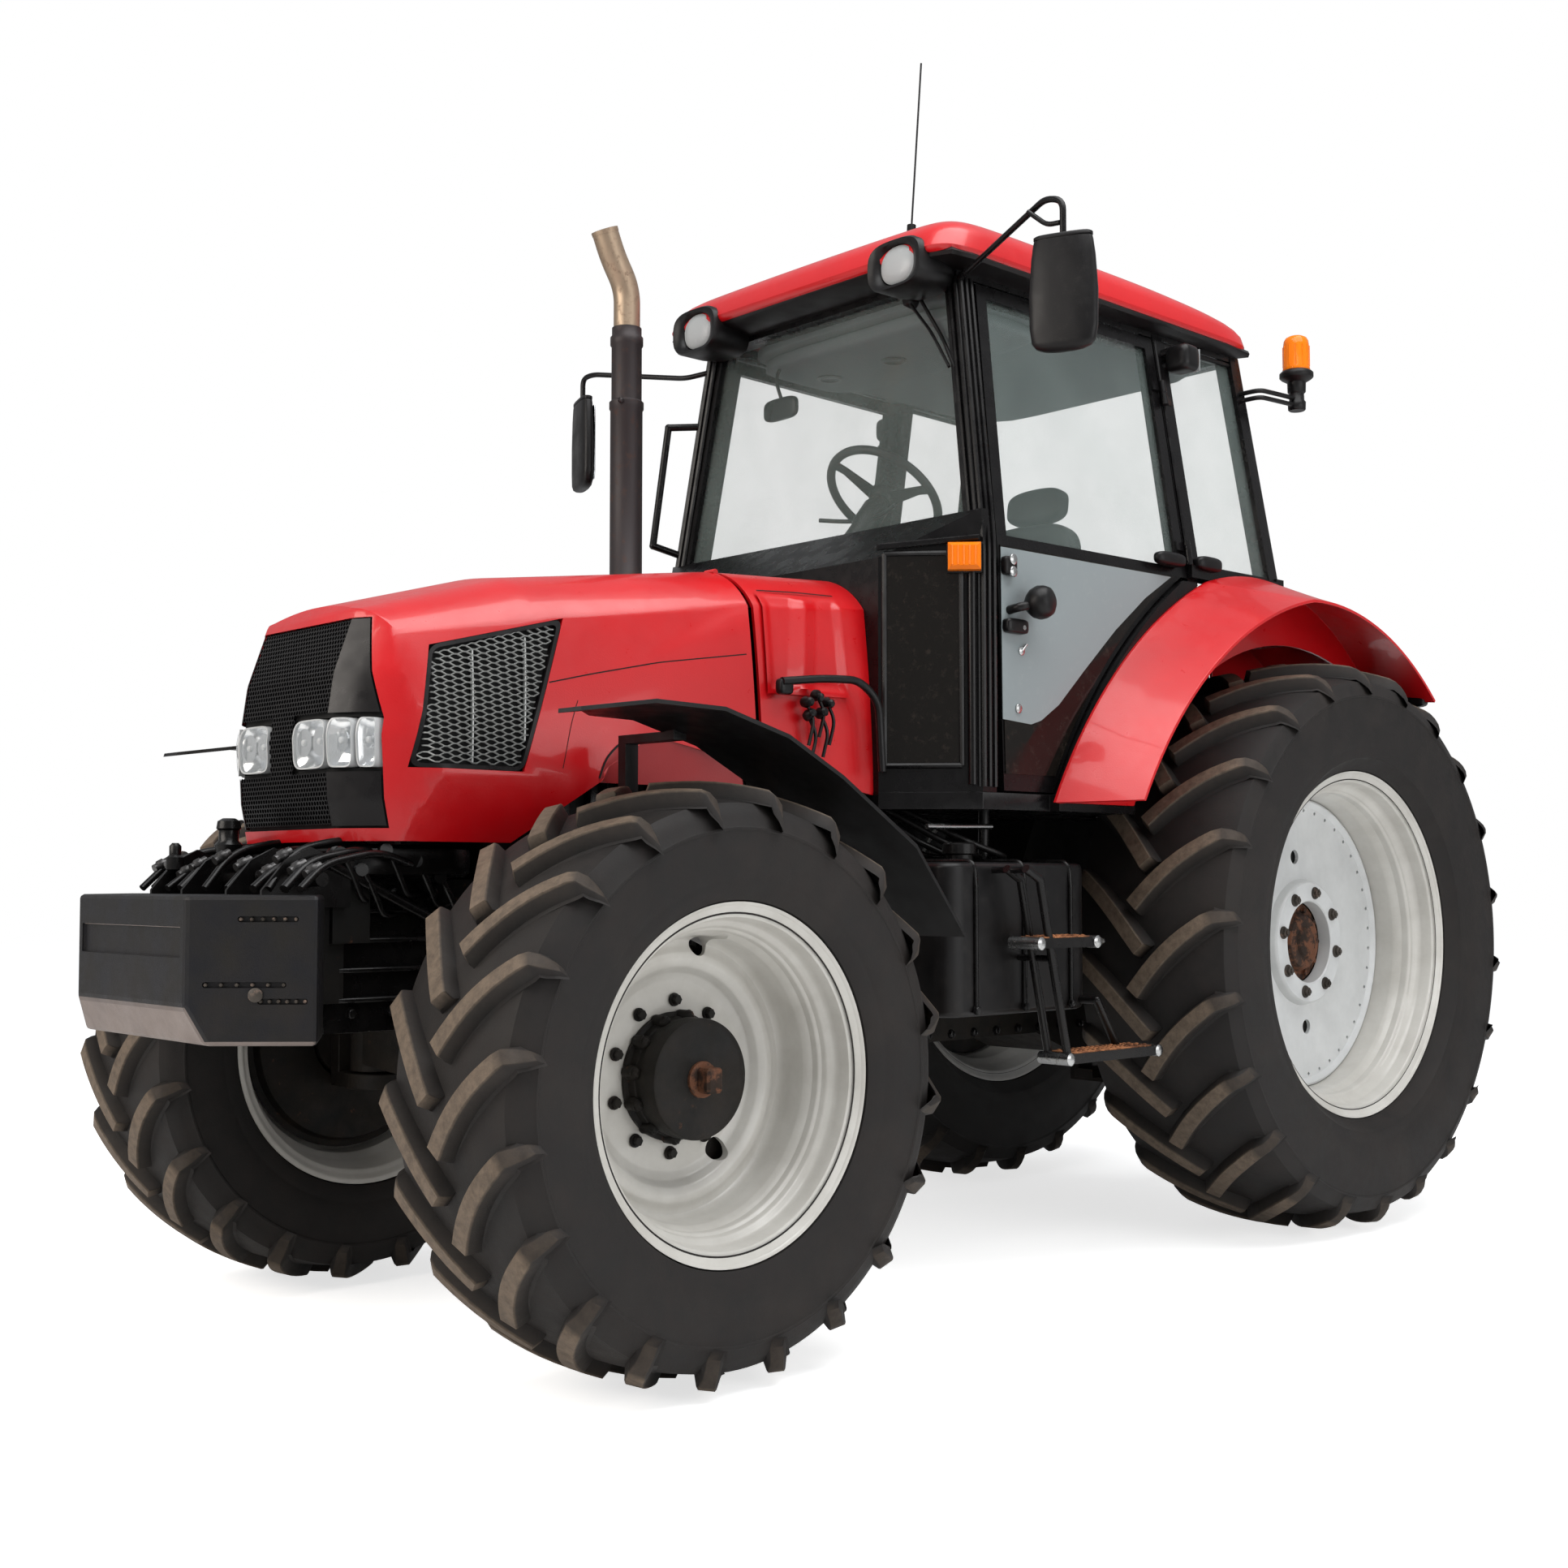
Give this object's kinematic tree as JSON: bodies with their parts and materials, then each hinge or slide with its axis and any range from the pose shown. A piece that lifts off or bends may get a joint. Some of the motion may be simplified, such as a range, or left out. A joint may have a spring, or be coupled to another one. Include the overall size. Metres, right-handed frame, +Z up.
{
  "type": "farm tractor",
  "caption": "Four-wheel-drive farm tractor with closed cab, tilting hood, front weight, steered front wheels and rear three-point hitch.",
  "frame": {"origin": "on the ground under the middle of the whole machine", "axes": "+X forward, +Y to the driver's left, +Z up"},
  "size_m": [4.8699, 2.3342, 3.7033],
  "materials": {
    "red_paint": "glossy",
    "tyre_rubber": "matt, dusty",
    "cream_rim_paint": "satin",
    "black_iron": "satin black paint",
    "grey_cast_iron": "dark grey paint",
    "black_plastic": "matt",
    "tinted_glass": "clear, slight grey-green tint",
    "clear_lens": "clear lens",
    "amber_lens": "gloss",
    "black_mesh": "matt mesh",
    "stack_metal": "heat-browned black",
    "seat_vinyl": "matt",
    "steel_rod": "bright"
  },
  "bodies": {
    "chassis": {"access_steps": "black_plastic", "antenna": "black_plastic", "beacon": "amber_lens", "cab_frame": "black_plastic", "cab_glass": "tinted_glass", "cab_roof": "red_paint", "cab_tub": "red_paint", "drawbar": "grey_cast_iron", "engine_block": "grey_cast_iron", "exhaust_stack": "stack_metal", "front_axle_beam": "grey_cast_iron", "front_frame": "grey_cast_iron", "front_weight": "black_iron", "fuel_tanks": "black_plastic", "mirrors": "black_plastic", "rear_axle_housing": "grey_cast_iron", "rear_cowl": "red_paint", "rear_fenders": "red_paint", "seat": "seat_vinyl", "steering_console": "black_plastic", "steering_cylinder": "black_iron", "transmission": "grey_cast_iron", "work_lights": "black_plastic"},
    "front_wheel_left": {"front_tyre_left": "tyre_rubber", "front_rim_left": "cream_rim_paint", "front_hub_left": "black_iron"},
    "front_wheel_right": {"front_tyre_right": "tyre_rubber", "front_rim_right": "cream_rim_paint", "front_hub_right": "black_iron"},
    "rear_wheel_left": {"rear_tyre_left": "tyre_rubber", "rear_rim_left": "cream_rim_paint"},
    "rear_wheel_right": {"rear_tyre_right": "tyre_rubber", "rear_rim_right": "cream_rim_paint"},
    "knuckle_left": {"knuckle_left": "grey_cast_iron", "front_fender_left": "black_plastic"},
    "knuckle_right": {"knuckle_right": "grey_cast_iron", "front_fender_right": "black_plastic"},
    "steering_ram": {"steering_rod": "steel_rod"},
    "hood": {"hood": "red_paint", "hood_grilles": "black_mesh", "headlamps": "clear_lens"},
    "door_left": {"door_left": "red_paint", "door_glass_left": "tinted_glass"},
    "door_right": {"door_right": "red_paint", "door_glass_right": "tinted_glass"},
    "lower_links": {"lower_links": "black_iron"},
    "lift_arms": {"lift_arms": "grey_cast_iron"},
    "lift_rods": {"lift_rods": "black_iron"}
  },
  "joints": [
    {"name": "front_wheel_left_roll", "type": "hinge", "parent": "knuckle_left", "child": "front_wheel_left", "pos_m": [1.455, 0.795, 0.69], "axis": [0, 1, 0], "continuous": true},
    {"name": "front_wheel_right_roll", "type": "hinge", "parent": "knuckle_right", "child": "front_wheel_right", "pos_m": [1.455, -0.795, 0.69], "axis": [0, 1, 0], "continuous": true},
    {"name": "rear_wheel_left_roll", "type": "hinge", "parent": "chassis", "child": "rear_wheel_left", "pos_m": [-1.305, 0.76, 0.94], "axis": [0, 1, 0], "continuous": true},
    {"name": "rear_wheel_right_roll", "type": "hinge", "parent": "chassis", "child": "rear_wheel_right", "pos_m": [-1.305, -0.76, 0.94], "axis": [0, 1, 0], "continuous": true},
    {"name": "steer_left", "type": "hinge", "parent": "chassis", "child": "knuckle_left", "pos_m": [1.455, 0.56, 0.69], "axis": [0, 0, 1], "range_deg": [-28, 28]},
    {"name": "steer_right", "type": "hinge", "parent": "chassis", "child": "knuckle_right", "pos_m": [1.455, -0.56, 0.69], "axis": [0, 0, 1], "range_deg": [-28, 28]},
    {"name": "steering_ram_slide", "type": "slide", "parent": "chassis", "child": "steering_ram", "axis": [0, 1, 0], "range_m": [-0.0855, 0.0855]},
    {"name": "hood_tilt", "type": "hinge", "parent": "chassis", "child": "hood", "pos_m": [0.869, 0, 2.012], "axis": [0, -1, 0], "range_deg": [0, 45]},
    {"name": "door_left_swing", "type": "hinge", "parent": "chassis", "child": "door_left", "pos_m": [-0.735, 0.735, 2.12], "axis": [0, -0.1604, 0.9871], "range_deg": [0, 65]},
    {"name": "door_right_swing", "type": "hinge", "parent": "chassis", "child": "door_right", "pos_m": [-0.735, -0.735, 2.12], "axis": [0, -0.1604, -0.9871], "range_deg": [0, 65]},
    {"name": "lower_link_lift", "type": "hinge", "parent": "chassis", "child": "lower_links", "pos_m": [-1.425, 0, 0.56], "axis": [0, 1, 0], "range_deg": [-12, 32]},
    {"name": "lift_arm_turn", "type": "hinge", "parent": "chassis", "child": "lift_arms", "pos_m": [-1.455, 0, 1.27], "axis": [0, 1, 0], "range_deg": [-13, 34.7]},
    {"name": "lift_rod_hang", "type": "hinge", "parent": "lift_arms", "child": "lift_rods", "pos_m": [-1.825, 0, 1.27], "axis": [0, 1, 0], "range_deg": [-34.7, 13]}
  ],
  "couplings": [
    {"joint": "steer_right", "follows": "steer_left", "ratio": 1},
    {"joint": "steering_ram_slide", "follows": "steer_left", "m_per_rad": -0.17},
    {"joint": "lift_arm_turn", "follows": "lower_link_lift", "ratio": 1.0811},
    {"joint": "lift_rod_hang", "follows": "lower_link_lift", "ratio": -1.0811}
  ]
}
